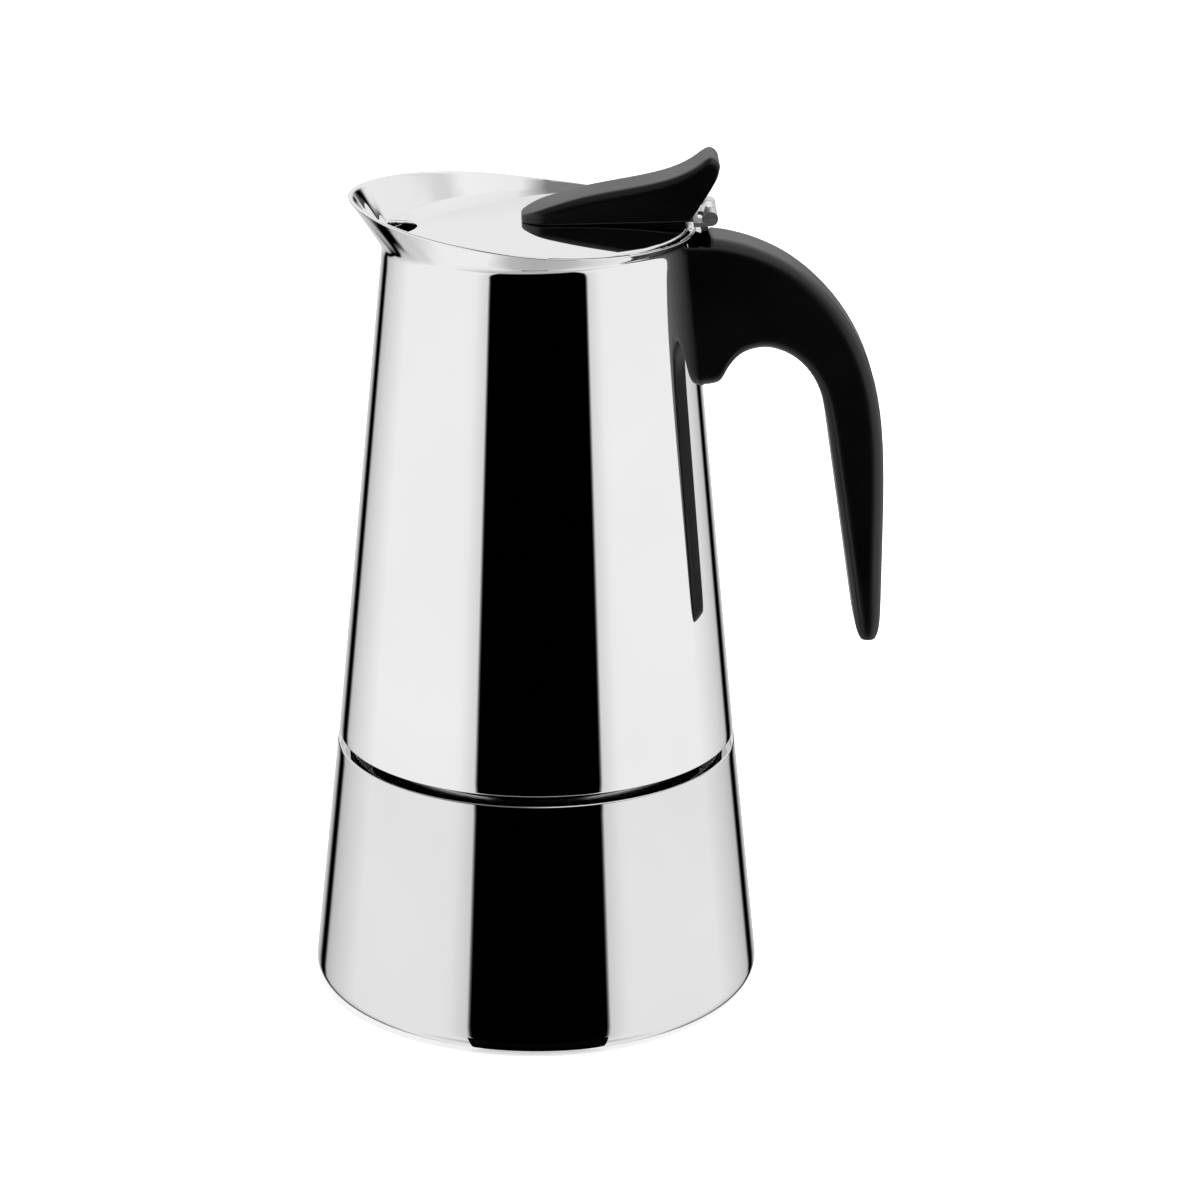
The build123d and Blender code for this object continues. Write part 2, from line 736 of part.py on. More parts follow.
def make_handle_screw():
    head_top = handle_screw_head_bottom + handle_screw_head_height
    shank = upright(screw_radius, head_top, handle_screw_top, x=handle_screw_x)
    head = upright(handle_screw_head_radius, handle_screw_head_bottom, head_top, x=handle_screw_x)
    start = handle_screw_x - handle_screw_head_radius
    stop = handle_screw_x + handle_screw_head_radius
    slot_top = handle_screw_head_bottom + handle_screw_head_height / 2
    slot = block((start, -slot_half_width, handle_screw_head_bottom - cut_past),
                 (stop, slot_half_width, slot_top))
    return shank + head - slot


pieces = {
    "boiler": make_boiler,
    "boiler_neck": make_boiler_neck,
    "valve_boss": make_valve_boss,
    "valve_washer": make_valve_washer,
    "valve_body": make_valve_body,
    "valve_seat": make_valve_seat,
    "valve_cap": make_valve_cap,
    "valve_poppet": make_valve_poppet,
    "valve_spring": make_valve_spring,
    "funnel": make_funnel,
    "funnel_tube": make_funnel_tube,
    "funnel_strainer": make_funnel_strainer,
    "gasket": make_gasket,
    "filter_plate": make_filter_plate,
    "collector_floor": make_collector_floor,
    "collector_skirt": make_collector_skirt,
    "collector_shell": make_collector_shell,
    "coffee_column": make_coffee_column,
    "lid": make_lid,
    "lid_hinge_leaf": make_lid_hinge_leaf,
    "hinge_bracket": make_hinge_bracket,
    "hinge_pin": make_hinge_pin,
    "lid_knob": make_lid_knob,
    "knob_screws": make_knob_screws,
    "handle": make_handle,
    "handle_bracket": make_handle_bracket,
    "handle_screw": make_handle_screw,
}

os.makedirs("parts", exist_ok=True)
for name, make in pieces.items():
    export_step(make(), f"parts/{name}.step")
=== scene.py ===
"""Looks of a polished steel stove-top moka pot with a black plastic handle and lid knob."""

import json
from math import acos, atan2, ceil, cos, exp, hypot, pi, radians, sin, sqrt

import bmesh
import bpy
from mathutils import Matrix, Vector


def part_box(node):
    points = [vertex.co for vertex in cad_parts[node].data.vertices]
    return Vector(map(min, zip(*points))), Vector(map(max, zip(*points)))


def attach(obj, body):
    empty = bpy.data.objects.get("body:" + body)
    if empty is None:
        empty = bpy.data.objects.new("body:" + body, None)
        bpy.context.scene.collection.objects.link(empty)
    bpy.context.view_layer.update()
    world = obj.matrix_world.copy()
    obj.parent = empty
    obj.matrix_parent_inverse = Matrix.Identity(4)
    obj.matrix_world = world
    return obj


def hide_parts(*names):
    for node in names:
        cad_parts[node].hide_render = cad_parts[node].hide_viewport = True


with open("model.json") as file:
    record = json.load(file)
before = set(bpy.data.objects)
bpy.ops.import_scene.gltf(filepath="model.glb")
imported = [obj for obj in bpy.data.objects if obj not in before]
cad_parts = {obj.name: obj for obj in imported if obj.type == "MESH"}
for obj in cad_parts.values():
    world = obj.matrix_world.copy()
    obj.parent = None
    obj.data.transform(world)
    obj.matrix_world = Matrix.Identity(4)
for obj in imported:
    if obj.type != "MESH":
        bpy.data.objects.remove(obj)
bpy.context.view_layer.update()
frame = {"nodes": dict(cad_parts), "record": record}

mm = 0.001

# Sizes of the steel shells, the same as the frame's
sheet = 0.8 * mm
boiler_height = 56.5 * mm
boiler_base_radius = 50.6 * mm
boiler_top_radius = 44.6 * mm
base_corner = 3.6 * mm
shoulder_corner = 0.4 * mm
floor_thickness = 1.0 * mm
neck_radius = 34.0 * mm
neck_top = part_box("boiler_neck")[1].z
thread_pitch = 3.0 * mm
thread_turns = 1.9
thread_depth = 0.9 * mm
thread_root = 1.3 * mm
thread_crest = 0.6 * mm
thread_start = 59.15 * mm

collector_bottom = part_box("collector_shell")[0].z
collector_base_radius = 44.3 * mm
collector_bend_radius = 33.15 * mm
collector_bend_height = 172.1 * mm
collector_slope = (collector_base_radius - collector_bend_radius) / (collector_bend_height - collector_bottom)
hem_width = 3.2 * mm
hem_corner = 0.4 * mm

# Flared rim: the wall turns out at the bend, and the rim climbs from hinge to spout
flare_start = 168.5 * mm
spout_bend_height = 169.9 * mm
bend_climb = 2.6 * mm
bend_softness = 0.7 * mm
lean_length = 1.0 * mm
flare_slope = 0.622
flare_slope_gain = 0.47
spout_pull = 0.06
spout_sharpness = 60
rim_round = 0.25 * mm
rim_edge_angle = radians(50)     # edges sharper than this are rounded
crease_depth = 0.05 * mm         # shallow creases from drawing out the spout
crease_count = 22                # of them, in a whole turn
crease_spread = 0.9              # radians from the spout over which they fade
crease_slant = 4                 # radians of a wave by which the long creases shift up the flare
short_crease_count = 37.4        # finer creases between them
short_crease_slant = -7
rim_line = [(-48, 180.7), (-40.6, 180.65), (-34, 179.9), (-21.5, 178.45), (-12.5, 177.4), (-1, 175.95),
            (9, 175.1), (18, 174.65), (27, 174.3), (33, 173.9), (48, 173.6)]

lid_radius = 33.0 * mm
lid_sheet = 0.9 * mm
lid_edge_height = 174.1 * mm
lid_dome = 1.3 * mm
lid_top = lid_edge_height + lid_sheet + lid_dome
notch_radius = 7.4 * mm
notch_reach = 33.2 * mm
pin_x = 37.4 * mm
pin_z = 177.05 * mm
lid_tilt = radians(1.5)          # the lid is shaped level, then turned down about the hinge pin

around = 192                     # faces round each turned shell
along = 2.0 * mm                 # longest face along a straight wall
merge_distance = 1e-6            # points closer than this are one


# Mesh helpers

def mesh_object(name, bm, material):
    """An object in the scene, made from a bmesh."""
    mesh = bpy.data.meshes.new(name)
    bm.to_mesh(mesh)
    bm.free()
    mesh.materials.append(material)
    made = bpy.data.objects.new(name, mesh)
    bpy.context.scene.collection.objects.link(made)
    return made


def finish_piece(name, bm, material, body, slot, *replaced):
    """Makes a smooth-shaded piece from a bmesh and puts it on its body in place of the frame's nodes."""
    piece = mesh_object(name, bm, material)
    piece.data.shade_smooth()
    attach(piece, body)
    if replaced:
        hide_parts(*replaced)
    return piece


def straight(start, end, longest=along):
    """Points from start up to but not including end, no further apart than longest."""
    count = max(1, ceil(hypot(end[0] - start[0], end[1] - start[1]) / longest))
    return [(start[0] + (end[0] - start[0]) * n / count, start[1] + (end[1] - start[1]) * n / count)
            for n in range(count)]


def rounded_corner(before, point, after, radius, steps=8):
    """Points of an arc that rounds a corner of a profile."""
    here = Vector(point)
    into = (Vector(before) - here).normalized()
    out = (Vector(after) - here).normalized()
    half = acos(max(-1.0, min(1.0, into.dot(out)))) / 2
    reach = radius / sin(half)
    centre = here + (into + out).normalized() * reach
    first = here + into * sqrt(reach ** 2 - radius ** 2) - centre
    last = here + out * sqrt(reach ** 2 - radius ** 2) - centre
    points = []
    for n in range(steps + 1):
        spoke = first.slerp(last, n / steps)
        points.append(tuple(centre + spoke.normalized() * radius))
    return points


def profile(corners):
    """A profile from (radius, height, rounding) corners, with long runs divided and corners rounded."""
    groups = []
    for n, (x, z, radius) in enumerate(corners):
        if radius and 0 < n < len(corners) - 1:
            groups.append(rounded_corner(corners[n - 1][:2], (x, z), corners[n + 1][:2], radius))
        else:
            groups.append([(x, z)])
    points = []
    for group, following in zip(groups, groups[1:]):
        points += group[:-1] + straight(group[-1], following[0])
    return points + groups[-1]


def spun(points, closed=True):
    """A bmesh spun round Z from (radius, height) points."""
    bm = bmesh.new()
    verts = [bm.verts.new((x, 0, z)) for x, z in points]
    pairs = list(zip(verts, verts[1:]))
    if closed:
        pairs.append((verts[-1], verts[0]))
    edges = [bm.edges.new(pair) for pair in pairs]
    bmesh.ops.spin(bm, geom=verts + edges, cent=(0, 0, 0), axis=(0, 0, 1), angle=2 * pi,
                   steps=around, use_merge=True)
    bmesh.ops.remove_doubles(bm, verts=bm.verts, dist=merge_distance)
    return bm


def outward(bm):
    """Turns all faces outwards."""
    bmesh.ops.recalc_face_normals(bm, faces=bm.faces)
    return bm


# Material helpers

def node_material(name):
    """A new material with its shader, its node tree and Object coordinates."""
    material = bpy.data.materials.new(name)
    material.use_nodes = True
    tree = material.node_tree
    shader = tree.nodes["Principled BSDF"]
    coords = tree.nodes.new("ShaderNodeTexCoord").outputs["Object"]
    return material, tree, shader, coords


noise_low = 0.3                  # most of a noise texture's values lie between these
noise_high = 0.7


def noise(tree, coords, scale, stretch=(1, 1, 1), detail=3.0):
    """A noise value on stretched coordinates, features about 1/scale metres across."""
    mapping = tree.nodes.new("ShaderNodeMapping")
    mapping.inputs["Scale"].default_value = stretch
    tree.links.new(coords, mapping.inputs["Vector"])
    texture = tree.nodes.new("ShaderNodeTexNoise")
    texture.inputs["Scale"].default_value = scale
    texture.inputs["Detail"].default_value = detail
    tree.links.new(mapping.outputs["Vector"], texture.inputs["Vector"])
    return texture.outputs["Fac"]


def spread(tree, value, low, high):
    """A noise value spread over low to high."""
    node = tree.nodes.new("ShaderNodeMapRange")
    node.inputs["From Min"].default_value = noise_low
    node.inputs["From Max"].default_value = noise_high
    node.inputs["To Min"].default_value = low
    node.inputs["To Max"].default_value = high
    tree.links.new(value, node.inputs["Value"])
    return node.outputs["Result"]


def grey(level):
    """A grey of one level."""
    return level, level, level


def tint(tree, value, dark, light):
    """A colour between two colours by a noise value."""
    ramp = tree.nodes.new("ShaderNodeValToRGB")
    ramp.color_ramp.elements[0].position = noise_low
    ramp.color_ramp.elements[1].position = noise_high
    ramp.color_ramp.elements[0].color = (*dark, 1)
    ramp.color_ramp.elements[1].color = (*light, 1)
    tree.links.new(value, ramp.inputs["Fac"])
    return ramp.outputs["Color"]


def bump(tree, shader, value, height):
    """Small relief from a noise value."""
    node = tree.nodes.new("ShaderNodeBump")
    node.inputs["Distance"].default_value = height
    tree.links.new(value, node.inputs["Height"])
    tree.links.new(node.outputs["Normal"], shader.inputs["Normal"])


def polished_steel(name="polished_steel", dark=0.91, light=0.95):
    """Mirror-polished stainless steel with faint turning lines."""
    material, tree, shader, coords = node_material(name)
    shader.inputs["Metallic"].default_value = 1.0
    lines = noise(tree, coords, scale=60, stretch=(1, 1, 60))
    clouds = noise(tree, coords, scale=25)
    tree.links.new(tint(tree, clouds, grey(dark), grey(light)), shader.inputs["Base Color"])
    tree.links.new(spread(tree, lines, low=0.012, high=0.024), shader.inputs["Roughness"])
    return material


def satin_steel(name="satin_steel", dark=(0.52, 0.52, 0.51), light=(0.64, 0.64, 0.63), shine=(0.22, 0.34)):
    """Plain drawn or turned steel of the inner pieces."""
    material, tree, shader, coords = node_material(name)
    shader.inputs["Metallic"].default_value = 1.0
    lines = noise(tree, coords, scale=90, stretch=(1, 1, 20))
    tree.links.new(tint(tree, lines, dark, light), shader.inputs["Base Color"])
    tree.links.new(spread(tree, lines, *shine), shader.inputs["Roughness"])
    bump(tree, shader, lines, height=0.01 * mm)
    return material


def black_plastic():
    """Satin black moulded plastic with a fine grain."""
    material, tree, shader, coords = node_material("black_plastic")
    grain = noise(tree, coords, scale=2600, detail=2.0)
    clouds = noise(tree, coords, scale=45)
    shade = tint(tree, clouds, dark=(0.0010, 0.0010, 0.0012), light=(0.0020, 0.0020, 0.0022))
    tree.links.new(shade, shader.inputs["Base Color"])
    tree.links.new(spread(tree, clouds, low=0.30, high=0.36), shader.inputs["Roughness"])
    shader.inputs["Specular IOR Level"].default_value = 0.5
    bump(tree, shader, grain, height=0.007 * mm)
    return material


def rubber():
    """Pale matt silicone rubber."""
    material, tree, shader, coords = node_material("pale_rubber")
    grain = noise(tree, coords, scale=900)
    shade = tint(tree, grain, dark=(0.62, 0.60, 0.55), light=(0.72, 0.70, 0.65))
    tree.links.new(shade, shader.inputs["Base Color"])
    tree.links.new(spread(tree, grain, low=0.55, high=0.7), shader.inputs["Roughness"])
    bump(tree, shader, grain, height=0.03 * mm)
    return material


def brass():
    """Turned brass."""
    material, tree, shader, coords = node_material("turned_brass")
    shader.inputs["Metallic"].default_value = 1.0
    lines = noise(tree, coords, scale=120, stretch=(1, 20, 1))
    shade = tint(tree, lines, dark=(0.60, 0.42, 0.17), light=(0.76, 0.57, 0.27))
    tree.links.new(shade, shader.inputs["Base Color"])
    tree.links.new(spread(tree, lines, low=0.2, high=0.34), shader.inputs["Roughness"])
    bump(tree, shader, lines, height=0.01 * mm)
    return material


steel = polished_steel()
# painted shade: the boiler gets a darker copy of the same polished steel, so that its reflections come out
# dimmer than the collector's
shaded_boiler_steel = polished_steel("polished_boiler_steel", dark=0.82, light=0.86)
inner_steel = satin_steel()
plastic = black_plastic()
pale_rubber = rubber()
turned_brass = brass()
spring_steel = satin_steel("drawn_wire", dark=(0.34, 0.34, 0.35), light=(0.46, 0.46, 0.47))
finishes = {"polished_steel": steel, "inner_steel": inner_steel, "black_plastic": plastic,
            "gasket_rubber": pale_rubber, "valve_brass": turned_brass, "spring_steel": spring_steel}
hinge_steel = satin_steel("tumbled_steel", dark=grey(0.86), light=grey(0.95), shine=(0.40, 0.52))
hinge_nodes = ("lid_hinge_leaf", "hinge_pin")


def dress_frame():
    """Gives every CAD node the material of its slot, and the hinge a softer shine."""
    for subpart in frame["record"]["subparts"]:
        name = subpart["node"]
        node = frame["nodes"][name]
        node.data.materials.clear()
        node.data.materials.append(hinge_steel if name in hinge_nodes else finishes[subpart["material_slot"]])


# Boiler

def boiler_radius(z):
    """Outside radius of the boiler's straight wall at a height."""
    return boiler_base_radius - (boiler_base_radius - boiler_top_radius) * z / boiler_height


def helix_ridge(bm, radius):
    """Adds the neck's outside thread to a bmesh, as a ridge that climbs while it is spun."""
    steps = int(around / 2 * thread_turns)
    sunk = -0.1 * mm
    section = [(sunk, -thread_root / 2), (thread_depth, -thread_crest / 2),
               (thread_depth, thread_crest / 2), (sunk, thread_root / 2)]
    verts = [bm.verts.new((radius + x, 0, thread_start + z)) for x, z in section]
    face = bm.faces.new(verts)
    rise = thread_pitch * thread_turns / steps
    bmesh.ops.spin(bm, geom=[face] + verts + list(face.edges), cent=(0, 0, 0), axis=(0, 0, 1),
                   dvec=(0, 0, rise), angle=2 * pi * thread_turns, steps=steps)


def make_boiler():
    """The boiler's shell and its threaded neck, in one piece."""
    inner_neck = neck_radius - sheet
    ceiling = boiler_height - sheet
    inner_top = boiler_radius(ceiling) - sheet
    points = profile([
        (0, 0, 0), (boiler_base_radius, 0, base_corner), (boiler_top_radius, boiler_height, shoulder_corner),
        (neck_radius, boiler_height, 0), (neck_radius, neck_top, 0), (inner_neck, neck_top, 0),
        (inner_neck, ceiling, 0), (inner_top, ceiling, 0),
        (boiler_radius(floor_thickness) - sheet, floor_thickness, base_corner - sheet),
        (0, floor_thickness, 0)])
    bm = outward(spun(points, closed=False))
    helix_ridge(bm, neck_radius)
    finish_piece("boiler_shell", bm, shaded_boiler_steel, "boiler", "polished_steel", "boiler", "boiler_neck")


# Collector

def collector_radius(z):
    """Outside radius of the collector's straight wall at a height."""
    return collector_base_radius - collector_slope * (z - collector_bottom)


def flare_radius(turn, z, inset):
    """Radius of the flared wall at an angle from the spout and a height."""
    back = sin(turn / 2) ** 2
    over = z - spout_bend_height - bend_climb * sqrt(back)
    past = (over + sqrt(over ** 2 + bend_softness ** 2)) / 2
    pull = spout_pull * (1 - back) ** (spout_sharpness / 2)
    slope = flare_slope + flare_slope_gain * back + pull + collector_slope
    lean = slope * past / (past + lean_length)
    return collector_radius(z) + slope * past - inset * sqrt(1 + lean ** 2)


def rim_height(x):
    """Height of the rim at a place from spout to hinge, smooth between the rim line's points."""
    x = x / mm
    n = max(1, min(len(rim_line) - 3, sum(1 for p in rim_line[1:] if p[0] < x)))
    before, start, end, after = rim_line[n - 1:n + 3]
    t = (x - start[0]) / (end[0] - start[0])
    rise_in = (end[1] - before[1]) / (end[0] - before[0]) * (end[0] - start[0])
    rise_out = (after[1] - start[1]) / (after[0] - start[0]) * (end[0] - start[0])
    height = ((2 * t ** 3 - 3 * t ** 2 + 1) * start[1] + (t ** 3 - 2 * t ** 2 + t) * rise_in
              + (3 * t ** 2 - 2 * t ** 3) * end[1] + (t ** 3 - t ** 2) * rise_out)
    return height * mm


def rim_at(turn):
    """Height of the rim at an angle from the spout, where the flare meets the rim line."""
    rim_guess = 40 * mm
    repeats = 4
    height = rim_height(-rim_guess * cos(turn))
    for _ in range(repeats):
        height = rim_height(-flare_radius(turn, height, 0) * cos(turn))
    return height


def spout_crease(turn, share):
    """How far a crease stands out, at an angle from the spout and a share of the flare's height."""
    mid_height = 4 * share * (1 - share)
    fade = exp(-(turn / crease_spread) ** 2) * mid_height
    long_wave = sin(crease_count * turn + crease_slant * share)
    short_wave = sin(short_crease_count * turn + short_crease_slant * share)
    return crease_depth * fade * (long_wave + short_wave)


def make_collector():
    """The collector's tapered wall with its hem, flared rim and spout."""
    flare_steps = 20
    tall = 10 * mm               # the flare's height before it is shaped
    hem = collector_base_radius - hem_width
    top = flare_start + tall
    flare_out = [(collector_radius(flare_start), flare_start + tall * n / flare_steps)
                 for n in range(flare_steps + 1)]
    flare_in = [(x - sheet, z) for x, z in reversed(flare_out)]
    wall = profile([
        (collector_radius(flare_start) - sheet, flare_start, 0),
        (collector_radius(collector_bottom + sheet) - sheet, collector_bottom + sheet, 0),
        (hem, collector_bottom + sheet, 0), (hem, collector_bottom, 0),
        (collector_base_radius, collector_bottom, hem_corner),
        (collector_radius(flare_start), flare_start, 0)])
    bm = spun(wall[:-1] + flare_out + flare_in[:-1])
    for vert in bm.verts:
        if vert.co.z < flare_start - merge_distance:
            continue
        turn = atan2(vert.co.y, -vert.co.x)
        inset = 0 if hypot(vert.co.x, vert.co.y) > collector_radius(flare_start) - sheet / 2 else sheet
        share = (vert.co.z - flare_start) / (top - flare_start)
        z = flare_start + share * (rim_at(turn) - flare_start)
        radius = flare_radius(turn, z, inset) + spout_crease(turn, share)
        vert.co = (-radius * cos(turn), radius * sin(turn), z)
    outward(bm)
    piece = finish_piece("collector_wall", bm, steel, "collector", "polished_steel", "collector_shell")
    rim = piece.modifiers.new("rim_round", "BEVEL")
    rim.width = rim_round
    rim.segments = 2
    rim.limit_method = "ANGLE"
    rim.angle_limit = rim_edge_angle


# Lid

def lid_surface(r):
    """Height of the lid's upper face at a radius."""
    ball = (lid_radius ** 2 + lid_dome ** 2) / (2 * lid_dome)
    return lid_top - ball + sqrt(ball ** 2 - r ** 2)


def lid_edge(turn):
    """Radius of the lid's edge at an angle from the spout, cut back at the pour notch."""
    across = notch_reach * sin(turn)
    if cos(turn) < 0 or abs(across) >= notch_radius:
        return lid_radius
    return min(lid_radius, notch_reach * cos(turn) - sqrt(notch_radius ** 2 - across ** 2))


def lid_down(bm):
    """Turns a level piece of the lid down to where it rests."""
    bmesh.ops.rotate(bm, cent=(pin_x, 0, pin_z), matrix=Matrix.Rotation(-lid_tilt, 3, "Y"), verts=bm.verts)
    return bm


def make_lid():
    """The domed lid with its pour notch."""
    rings = 24
    edge = 0.3 * mm
    upper = [(lid_radius * n / rings, lid_sheet) for n in range(rings)] + [(lid_radius - edge, lid_sheet)]
    rounded = [(lid_radius - edge + edge * sin(radians(a)), lid_sheet - edge + edge * cos(radians(a)))
               for a in (22.5, 45, 67.5, 90)]
    lower = [(lid_radius, edge), (lid_radius - edge, 0)]
    lower += [(lid_radius * n / rings, 0) for n in range(rings - 1, -1, -1)]
    bm = spun(upper + rounded + lower, closed=False)
    for vert in bm.verts:
        turn = atan2(vert.co.y, -vert.co.x)
        radius = hypot(vert.co.x, vert.co.y) * lid_edge(turn) / lid_radius
        vert.co = (-radius * cos(turn), radius * sin(turn), lid_surface(radius) - lid_sheet + vert.co.z)
    finish_piece("lid_disc", outward(lid_down(bm)), steel, "lid", "polished_steel", "lid")


# Black grips: rings of rounded sections, bridged one to the next

corner_steps = 4
fullest_round = 0.9              # the largest rounding, as a share of half a section's width or height
run_shares = (0.12, 0.5, 0.88)   # places of the points along a section's straight sides


def section_outline(half_width, half_height, upper_round, lower_round):
    """Points round a box section with rounded corners, as (across, up)."""
    arcs = []
    for n, (side, up) in enumerate(((1, 1), (-1, 1), (-1, -1), (1, -1))):
        radius = min(upper_round if up > 0 else lower_round,
                     fullest_round * half_width, fullest_round * half_height)
        turns = [pi / 2 * (n + step / corner_steps) for step in range(corner_steps + 1)]
        arcs.append([(side * (half_width - radius) + radius * cos(turn),
                      up * (half_height - radius) + radius * sin(turn)) for turn in turns])
    points = []
    for arc, following in zip(arcs, arcs[1:] + arcs[:1]):
        start = Vector(arc[-1])
        end = Vector(following[0])
        points += arc + [tuple(start.lerp(end, share)) for share in run_shares]
    return points


def section_ring(bm, top, low, half_width, rounds):
    """A ring of a rounded section between its top and low points, as wide as half_width each way."""
    points = section_outline(half_width, (top - low).length / 2, *rounds)
    upward = (top - low).normalized()
    verts = bmesh.ops.create_circle(bm, segments=len(points), radius=1.0)["verts"]
    for vert in verts:
        number = round(atan2(vert.co.y, vert.co.x) / (2 * pi) * len(points)) % len(points)
        across, up = points[number]
        vert.co = (top + low) / 2 + upward * up + Vector((0, across, 0))
    return verts


def bridged(bm, rings):
    """Joins rings of vertices into a closed solid."""
    loops = [list({edge for vert in ring for edge in vert.link_edges}) for ring in rings]
    for first, second in zip(loops, loops[1:]):
        bmesh.ops.bridge_loops(bm, edges=first + second)
    for loop in (loops[0], loops[-1]):
        bmesh.ops.contextual_create(bm, geom=loop)
    return outward(bm)


def smoothed(piece):
    """Rounds a piece that was made from few rings."""
    smooth = piece.modifiers.new("smooth", "SUBSURF")
    smooth.levels = smooth.render_levels = 2


def station_rings(bm, stations, half_width, rounds):
    """A ring at each station: its outer and inner point, in millimetres, and its share of the width."""
    rings = []
    for outer, inner, share in stations:
        top = Vector((outer[0], 0, outer[1])) * mm
        low = Vector((inner[0], 0, inner[1])) * mm
        rings.append(section_ring(bm, top, low, half_width * share, rounds))
    return rings


handle_half_width = 8.0 * mm
handle_rounds = (3.2 * mm, 2.6 * mm)
handle_stations = [              # along the handle: outer edge, inner edge, share of the width
    ((33.0, 172.4), (33.0, 139.5), 1.0), ((33.0, 172.4), (33.0, 139.5), 1.0),
    ((34.4, 172.4), (34.4, 139.5), 1.0), ((36.9, 172.35), (36.6, 139.8), 1.0),
    ((37.2, 172.35), (36.9, 139.8), 1.0), ((37.4, 172.3), (37.1, 139.8), 1.0),
    ((37.8, 172.3), (37.6, 139.85), 1.0), ((39.6, 172.1), (39.3, 140.15), 1.0),
    ((40.3, 172.0), (40.3, 140.9), 1.0), ((40.9, 171.9), (40.9, 142.1), 1.0),
    ((41.5, 171.8), (41.5, 143.3), 1.0), ((42.6, 171.55), (42.3, 144.5), 1.0),
    ((44.4, 171.1), (43.5, 146.0), 1.0), ((47.0, 170.35), (45.4, 147.4), 1.0),
    ((51.0, 168.7), (48.6, 148.25), 1.0), ((55.5, 166.3), (51.8, 148.1), 1.0),
    ((61.5, 161.5), (56.6, 146.0), 1.0), ((68.0, 153.9), (60.6, 141.5), 1.0),
    ((73.3, 143.3), (62.9, 135.6), 1.0), ((75.9, 130.0), (64.3, 126.0), 1.0),
    ((76.45, 114.0), (66.5, 112.0), 1.0), ((76.4, 98.0), (68.8, 97.0), 1.0),
    ((76.4, 87.0), (70.4, 86.5), 1.0), ((76.2, 83.5), (71.0, 83.1), 0.98),
    ((75.5, 81.3), (71.9, 81.2), 0.9), ((74.8, 80.7), (72.5, 80.7), 0.82),
]
root_bites = (0.6 * mm, 0.3 * mm, -0.4 * mm)   # how deep the first rings sit in the collector's wall
slot_rings = 5                   # the first rings have the hinge bracket's slot in their top
slot_half_width = 7.0 * mm
slot_side = 1.2 * mm             # points this close to the slot's sides move onto them
slot_floor = 166.0 * mm


def make_handle():
    """The handle, its root fitted to the collector's wall and slotted for the hinge bracket."""
    bm = bmesh.new()
    rings = station_rings(bm, handle_stations, handle_half_width, handle_rounds)
    for ring, bite in zip(rings, root_bites):
        for vert in ring:
            vert.co.x = sqrt((collector_radius(vert.co.z) - bite) ** 2 - vert.co.y ** 2)
    for ring in rings[:slot_rings]:
        for vert in ring:
            if vert.co.z > slot_floor and abs(vert.co.y) < slot_half_width:
                vert.co.z = slot_floor
                if abs(vert.co.y) > slot_half_width - slot_side:
                    vert.co.y *= slot_half_width / abs(vert.co.y)
    smoothed(finish_piece("grip_handle", bridged(bm, rings), plastic, "collector", "black_plastic", "handle"))


knob_half_width = 7.0 * mm
knob_rounds = (2.0 * mm, 0.4 * mm)
knob_lift = 0.05 * mm
knob_skirt_start = 0.85 * mm
knob_skirt_end = 32.0 * mm
knob_skirt_half = 6.0 * mm
knob_skirt_rise = 1.0 * mm       # how far it reaches up into the knob
knob_skirt_cuts = 7              # along each edge, so that it can follow the dome
knob_stations = [                # along the knob, with the lid level: top, underside, share of the width
    ((-3.25, 177.5), (-3.25, 176.6), 0.30), ((-3.15, 177.8), (-3.15, 176.4), 0.42),
    ((-2.45, 178.2), (-2.45, 176.35), 0.60), ((-0.55, 179.0), (-0.55, 176.35), 0.84),
    ((1.05, 179.6), (1.05, 176.35), 0.96), ((3.45, 180.4), (3.45, 176.35), 1.0),
    ((10.05, 182.2), (9.45, 176.35), 1.0), ((16.05, 183.2), (14.45, 176.35), 1.0),
    ((23.25, 184.3), (20.45, 176.35), 1.0), ((28.45, 185.4), (25.45, 176.35), 1.0),
    ((32.25, 186.85), (29.45, 176.35), 1.0), ((34.65, 188.3), (32.05, 176.35), 1.0),
    ((36.05, 189.4), (32.95, 176.45), 1.0), ((37.15, 190.0), (33.85, 177.8), 1.0),
    ((38.05, 190.1), (35.65, 180.4), 1.0), ((38.95, 189.5), (37.65, 183.4), 1.0),
    ((39.5, 188.5), (38.85, 185.5), 0.98), ((39.65, 187.8), (39.35, 186.8), 0.94),
]


def make_knob():
    """The knob's grip, above the skirt that stands on the lid."""
    bm = bmesh.new()
    bridged(bm, station_rings(bm, knob_stations, knob_half_width, knob_rounds))
    smoothed(finish_piece("thumb_knob", lid_down(bm), plastic, "lid", "black_plastic", "lid_knob"))


def make_knob_skirt():
    """The part of the knob that stands in from its sides and follows the lid's dome."""
    bm = bmesh.new()
    bmesh.ops.create_cube(bm, size=1.0)
    middle = (knob_skirt_start + knob_skirt_end) / 2
    bmesh.ops.scale(bm, vec=(knob_skirt_end - knob_skirt_start, 2 * knob_skirt_half, 2 * knob_skirt_rise),
                    verts=bm.verts)
    bmesh.ops.translate(bm, vec=(middle, 0, lid_top), verts=bm.verts)
    bmesh.ops.subdivide_edges(bm, edges=bm.edges, cuts=knob_skirt_cuts, use_grid_fill=True)
    for vert in bm.verts:
        if vert.co.z < lid_top:
            floor = lid_surface(hypot(vert.co.x, vert.co.y)) + knob_lift
            share = (lid_top - vert.co.z) / knob_skirt_rise
            vert.co.z = lid_top + share * (floor - lid_top)
    skirt = finish_piece("knob_skirt", outward(lid_down(bm)), plastic, "lid", "black_plastic")
    skirt.data.shade_flat()


# Stage: pale floor, soft studio light and the photograph's camera

